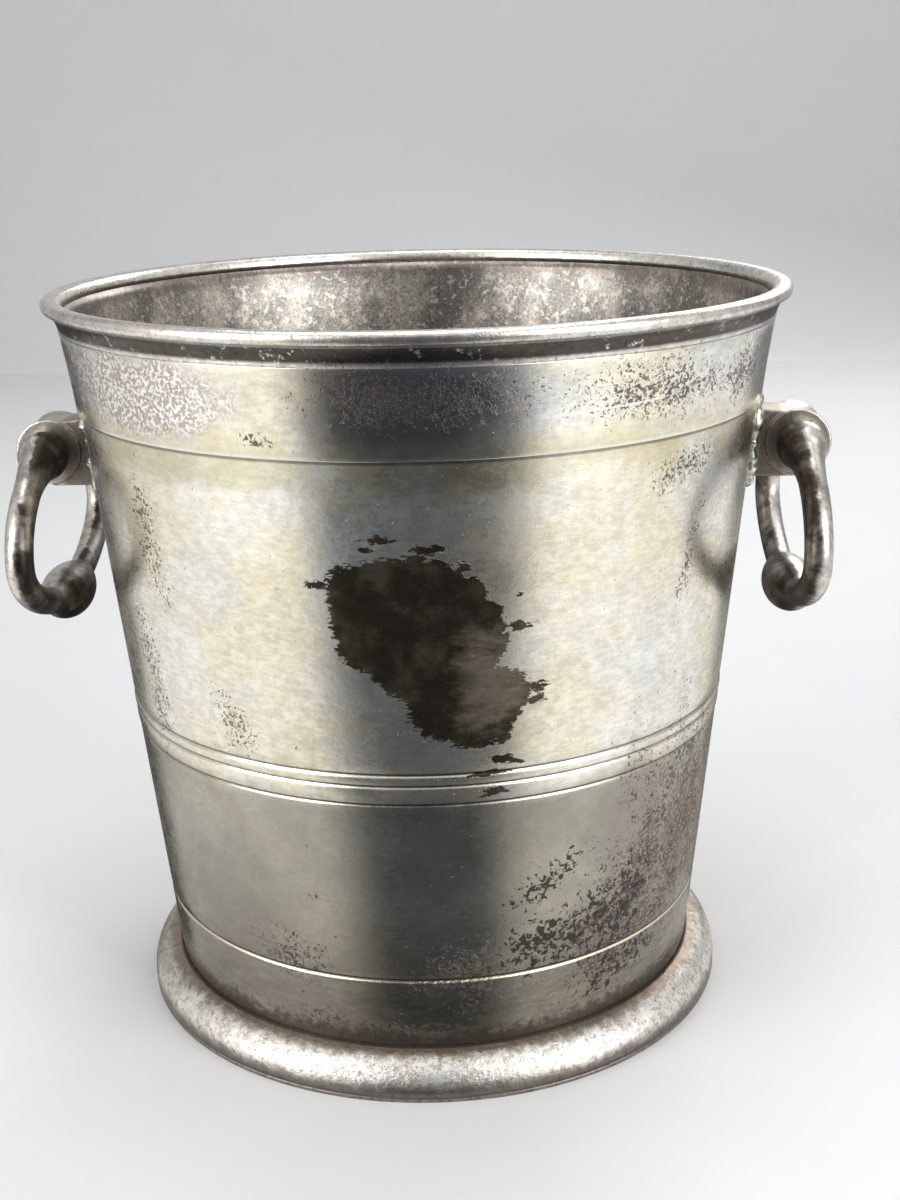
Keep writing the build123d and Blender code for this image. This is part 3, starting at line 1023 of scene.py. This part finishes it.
def ring_tree():
    sizes = (
        "Bar Width", "Bar Depth", "Egg Radius", "Egg Half Length", "Egg Height", "Ball Reach",
        "Ball Height", "Fillet Reach",
    )
    shape = Shape("drop_ring", {**dict.fromkeys(sizes, "Float"), "Metal": "Material"})
    width, depth, egg_end, egg_half, egg_top, reach, ball_height, fillet = (
        Value(shape, shape.inputs[size]) for size in sizes)
    path = shape.form("ResampleCurve", {0: shape.inputs["Geometry"], "Count": 180})
    x, y, z = shape.axes(shape.form("InputPosition"))
    half_bar = width * 0.5
    along = y / egg_half
    dome = shape.math("MAXIMUM", 1.0 - along * along, 0.0)
    egg = dome * (egg_end - half_bar) * shape.math("LESS_THAN", z, egg_top)
    past = shape.math("ABSOLUTE", y) - reach
    below = ball_height - z
    from_ball = shape.math("SQRT", past * past + below * below)
    near = shape.math("MAXIMUM", 1.0 - from_ball / fillet, 0.0)
    swell = egg / half_bar + 1.0 + near ** fillet_curve * fillet_swell
    oval = shape.node("ShaderNodeCombineXYZ", {0: depth / width, 1: 1, 2: 1})
    round_bar = shape.form("CurvePrimitiveCircle", {"Resolution": 28, "Radius": half_bar})
    section = shape.form("Transform", {0: round_bar, "Scale": oval.outputs[0]})
    bar = shape.form("CurveToMesh", {
        "Curve": path, "Profile Curve": section, "Scale": swell, "Fill Caps": True,
    })
    return shape.close(bar, {"Material": shape.inputs["Metal"]})


drop_ring = ring_tree()
print("drop ring tree nodes", len(drop_ring.nodes))


# %% Ring path and casting
def ring_path(name, x):
    """Bezier curve from ball to ball, hanging from the pivot at x."""
    y, z = ring_half_width, pivot.z
    side, low = z - ring_widest_drop, z - ring_drop
    lead, dip, turn, bottom = 14 * mm, 3 * mm, 10 * mm, 18 * mm
    points = [
        ((-ball_reach, z), (lead - ball_reach, z + dip), (-lead - ball_reach, z - dip)),
        ((-y, side), (-y, side + lead), (-y, side - turn)),
        ((0, low), (-bottom, low), (bottom, low)),
        ((y, side), (y, side - turn), (y, side + lead)),
        ((ball_reach, z), (ball_reach + lead, z - dip), (ball_reach - lead, z + dip)),
    ]
    curve = bpy.data.curves.new(name, "CURVE")
    curve.dimensions = "3D"
    curve.resolution_u = 24
    spline = curve.splines.new("BEZIER")
    spline.bezier_points.add(len(points) - 1)
    for point, (place, before, after) in zip(spline.bezier_points, points):
        point.co = (x, *place)
        point.handle_left = (x, *before)
        point.handle_right = (x, *after)
    return placed(name, curve)


def soft_casting(piece, voxel, rounds):
    """Fuses a piece into one skin and rounds its corners as a casting's are."""
    remesh = piece.modifiers.new("one_skin", "REMESH")
    remesh.mode = "VOXEL"
    remesh.voxel_size = voxel
    remesh.use_smooth_shade = True
    smooth = piece.modifiers.new("rounded", "SMOOTH")
    smooth.iterations = rounds
    smooth.factor = 0.5
    return plain_mesh(piece)


def ring_piece(side, x):
    bar = shaped(ring_path("drop_ring_" + side, x), drop_ring, {
        "Bar Width": bar_width, "Bar Depth": bar_depth, "Egg Radius": egg_radius,
        "Egg Half Length": egg_half_length, "Egg Height": pivot.z - egg_top_drop,
        "Ball Reach": ball_reach, "Ball Height": pivot.z, "Fillet Reach": fillet_reach,
        "Metal": handle_metal,
    })
    for end in (-1, 1):
        bpy.ops.mesh.primitive_uv_sphere_add(
            segments=40, ring_count=24, radius=ball_radius,
            location=(x, end * ball_reach, pivot.z),
        )
        ball = bpy.context.object
        ball.data.transform(ball.matrix_world)
        ball.matrix_world = Matrix.Identity(4)
        with bpy.context.temp_override(active_object=bar, selected_editable_objects=[bar, ball]):
            bpy.ops.object.join()
    return coat(soft_casting(bar, voxel=0.42 * mm, rounds=10), handle_metal)


for side, sign in (("left", -1), ("right", 1)):
    ring = ring_piece(side, sign * pivot.x)
    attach(ring, side + "_handle")
    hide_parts("ring_handle_" + side)

# %% [markdown]
# ## Brackets and their solder
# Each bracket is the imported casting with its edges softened: a copy of the frame's mesh is
# merged, remeshed and smoothed. Where it meets the wall, a lumpy bead of solder runs round
# its flange. The bead is a path on the wall with a noisy thickness.

# %% Brackets
def bracket_piece(side):
    piece = placed("bracket_" + side, frame["nodes"]["lug_" + side].data.copy())
    weld = piece.modifiers.new("weld", "WELD")
    weld.merge_threshold = 0.01 * mm
    return coat(soft_casting(piece, voxel=0.38 * mm, rounds=6), lug_metal)


def solder_tree():
    shape = Shape("solder_bead", {
        "Thickness": "Float", "Lump Size": "Float", "Seed": "Float", "Metal": "Material",
    })
    inputs = shape.inputs
    curve = shape.form("MeshToCurve", {0: inputs["Geometry"]})
    path = shape.form("ResampleCurve", {0: curve, "Count": 160})
    lumps = shape.node("ShaderNodeTexNoise", {
        "Vector": shape.form("InputPosition"), "W": inputs["Seed"], "Detail": 3.0,
        "Scale": 1.0 / Value(shape, inputs["Lump Size"]),
    }, noise_dimensions="4D")
    thick = shape.node("ShaderNodeMapRange", {
        "Value": lumps.outputs["Fac"], "From Min": 0.3, "From Max": 0.7,
        "To Min": 0.3, "To Max": 1.9,
    })
    section = shape.form(
        "CurvePrimitiveCircle", {"Resolution": 14, "Radius": inputs["Thickness"]})
    bead = shape.form(
        "CurveToMesh", {"Curve": path, "Profile Curve": section, "Scale": thick.outputs[0]})
    return shape.close(shape.form("SetShadeSmooth", {0: bead}), {"Material": inputs["Metal"]})


solder_bead = solder_tree()
saddle_half_width = 10.5 * mm
saddle_roundness = 0.45
solder_thickness = 1.3 * mm
solder_lump = 4.0 * mm


def solder_piece(side, sign):
    """A bead that runs along the edge of a saddle, on the wall."""
    low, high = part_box("lug_" + side)
    middle = (low.z + high.z) / 2
    half_height = (high.z - low.z) / 2 - 0.4 * mm
    places, count = [], 96
    for k in range(count):
        turn = 2 * math.pi * k / count
        c, s = math.cos(turn), math.sin(turn)
        y = math.copysign(abs(c) ** saddle_roundness, c) * saddle_half_width
        z = middle + math.copysign(abs(s) ** saddle_roundness, s) * half_height
        places.append((sign * math.sqrt((wall_radius(z) + 0.35 * mm) ** 2 - y * y), y, z))
    path = mesh_of("solder_path", places, [(k, (k + 1) % count) for k in range(count)])
    return shaped(placed("solder_" + side, path), solder_bead, {
        "Thickness": solder_thickness, "Lump Size": solder_lump, "Seed": 2.0 + sign,
        "Metal": solder_metal,
    })


for side, sign in (("left", -1), ("right", 1)):
    bracket = bracket_piece(side)
    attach(bracket, "bucket")
    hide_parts("lug_" + side)
    bead = solder_piece(side, sign)
    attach(bead, "bucket")

# %% [markdown]
# ## Studio
# A mirror shows its room, so the room is made with the same care as the bucket. The floor is a
# pale sheet that curves up into the backdrop, so that no corner shows in the metal.

# %% Floor and backdrop
def stage_finish():
    finish = Finish("pale_sweep")
    paper = finish.noise(40, detail=3)
    colour = finish.mix(paper, (0.80, 0.80, 0.80, 1), (0.83, 0.83, 0.825, 1))
    return finish.output(colour, 0.7, 0.0)


def sweep():
    """A floor that curves up into a backdrop behind the bucket."""
    depth, bend, height, width = 1.2, 0.6, 2.2, 3.0
    turns = [math.pi / 2 * k / 16 for k in range(1, 17)]
    line = [(-2.0, 0.0), (depth, 0.0)]
    line += [(depth + bend * math.sin(t), bend - bend * math.cos(t)) for t in turns]
    line += [(depth + bend, height)]
    places = [(side * width, y, z) for y, z in line for side in (-1, 1)]
    faces = [(2 * k, 2 * k + 1, 2 * k + 3, 2 * k + 2) for k in range(len(line) - 1)]
    mesh = mesh_of("sweep", places, faces=faces)
    mesh.polygons.foreach_set("use_smooth", [True] * len(faces))
    return coat(placed("sweep", mesh), stage_finish())


sweep()

# %% [markdown]
# ## Black cards
# Silver has no colour of its own: it needs something dark to reflect, so black cards are laid
# just out of view. A wedge lies on the floor in front of the bucket, a card stands behind the
# camera, and two lie behind the bucket. Only mirror-like reflections see them, so they darken
# neither the floor nor the light.

# %% Cards for the reflections
def card_finish(name, shade):
    finish = Finish(name)
    dark, light = (tuple(c * share for c in shade) + (1,) for share in (0.8, 1.1))
    colour = finish.mix(finish.noise(12, detail=3), dark, light)
    return finish.output(colour, 0.9, 0.0)


def card(name, places, material):
    """A dark flat card that only reflections see."""
    made = coat(placed(name, mesh_of(name, places, faces=[range(len(places))])), material)
    for kind in ("camera", "diffuse", "transmission", "shadow", "volume_scatter"):
        setattr(made, "visible_" + kind, False)


def on_floor(outline):
    return [(x, y, 1 * mm) for x, y in outline]


def wedge_finish():
    """Almost black far away, dark grey near the bucket, fading to the floor's own pale edges."""
    finish = Finish("front_card")
    ahead = finish.y * -1.0 - 100.0
    share = finish.math("ABSOLUTE", finish.x - ahead * 0.052 - 5.5) / (ahead * 0.77 + 45.0)
    far = finish.step(ahead, 0, 220)
    dark = finish.mix(far, (0.075, 0.085, 0.098, 1), (0.022, 0.029, 0.044, 1))
    edge = finish.step(share, far * 0.3 + 0.35, 1.25)
    return finish.output(finish.mix(edge, dark, (0.80, 0.80, 0.80, 1)), 0.9, 0.0)


front_outline = [
    (-0.05, -0.088), (-0.56, -0.62), (-1.1, -1.35), (1.2, -1.35), (0.62, -0.62), (0.062, -0.088),
]
left_outline = [(-0.085, -0.02), (0.0, 0.11), (0.0, 1.15), (-0.80, 1.15), (-0.80, 0.55)]
right_outline = [(0.09, 0.02), (0.70, 0.66), (0.70, 1.15), (0.0, 1.15), (0.0, 0.11)]
standing_outline = [
    (-0.60, -1.35, 0), (0.70, -1.35, 0), (0.70, -1.35, 1.1), (-0.60, -1.35, 1.1),
]
card("front_card", on_floor(front_outline), wedge_finish())
for name, places, shade in (
    ("standing_card", standing_outline, (0.04, 0.05, 0.07)),
    ("left_back_card", on_floor(left_outline), (0.045, 0.045, 0.05)),
    ("right_back_card", on_floor(right_outline), (0.12, 0.12, 0.125)),
):
    card(name, places, card_finish(name, shade))
print("cards", 4)

# %% [markdown]
# ## Lights
# Two tall softboxes stand in front, left and right, with a dim gap between them where the
# camera is. That gap gives the wall its grey middle. One light above opens the mouth, and one
# behind draws the edges of rim and handles. A dim grey room fills the shadows, but the camera,
# the metal and anything clear see it pale.

# %% Lights
middle = Vector((0, 0, rim_high / 2))


def softbox(name, place, size, power):
    """A rectangle of light that faces the bucket's middle."""
    lamp = bpy.data.lights.new(name, "AREA")
    lamp.shape = "RECTANGLE"
    lamp.size, lamp.size_y = size
    lamp.energy = power
    made = placed(name, lamp)
    made.location = place
    made.rotation_euler = (middle - Vector(place)).to_track_quat("-Z", "Y").to_euler()


softbox("left_softbox", (-0.95, -0.75, 0.55), (0.75, 1.1), 11)
softbox("right_softbox", (0.95, -0.75, 0.55), (0.75, 1.1), 11)
softbox("top_softbox", (0.0, 0.1, 1.3), (1.0, 1.0), 7)
softbox("back_softbox", (0.5, 1.0, 0.8), (0.8, 0.5), 5)


def studio_world():
    """A dim room that lights the bucket. The camera and the metal see it as a pale grey."""
    world = bpy.data.worlds.new("studio")
    world.use_nodes = True
    studio = Graph(world.node_tree)
    studio.tree.nodes.clear()
    room = studio.node("ShaderNodeBackground", {"Color": (0.55, 0.57, 0.60, 1), "Strength": 0.45})
    pale = studio.node("ShaderNodeBackground", {"Color": (0.62, 0.63, 0.645, 1)})
    ray = studio.node("ShaderNodeLightPath").outputs
    straight = studio.math("MAXIMUM", ray["Is Camera Ray"], ray["Is Glossy Ray"])
    straight = studio.math("MAXIMUM", straight, ray["Is Transmission Ray"])
    choice = studio.node(
        "ShaderNodeMixShader", {0: straight, 1: room.outputs[0], 2: pale.outputs[0]})
    studio.node("ShaderNodeOutputWorld", {"Surface": choice.outputs[0]})
    return world


scene.world = studio_world()
print("lights", len(bpy.data.lights), "world nodes", len(scene.world.node_tree.nodes))

# %% [markdown]
# ## Camera
# The bucket is seen from a little above, close enough that the mouth opens to the eye. The
# camera's height, distance and angles are the values of a hand-held lens.

# %% Camera
camera_distance = 0.4595
camera_height = 0.2535
pitch, yaw, roll = (math.radians(a) for a in (17.083, 0.8475, -1.5356))
camera = placed("camera", bpy.data.cameras.new("camera"))
camera.data.lens = 49.04
camera.data.sensor_width = 36
camera.matrix_world = (
    Matrix.Rotation(view_turn, 4, "Z")
    @ Matrix.Translation((0, -camera_distance, camera_height))
    @ Matrix.Rotation(math.pi / 2 - pitch, 4, "X")
    @ Matrix.Rotation(-yaw, 4, "Y")
    @ Matrix.Rotation(roll, 4, "Z")
)
camera.data.clip_start = 0.01
scene.camera = camera
print("camera", camera.matrix_world.translation)

# %% Update the scene
bpy.context.view_layer.update()
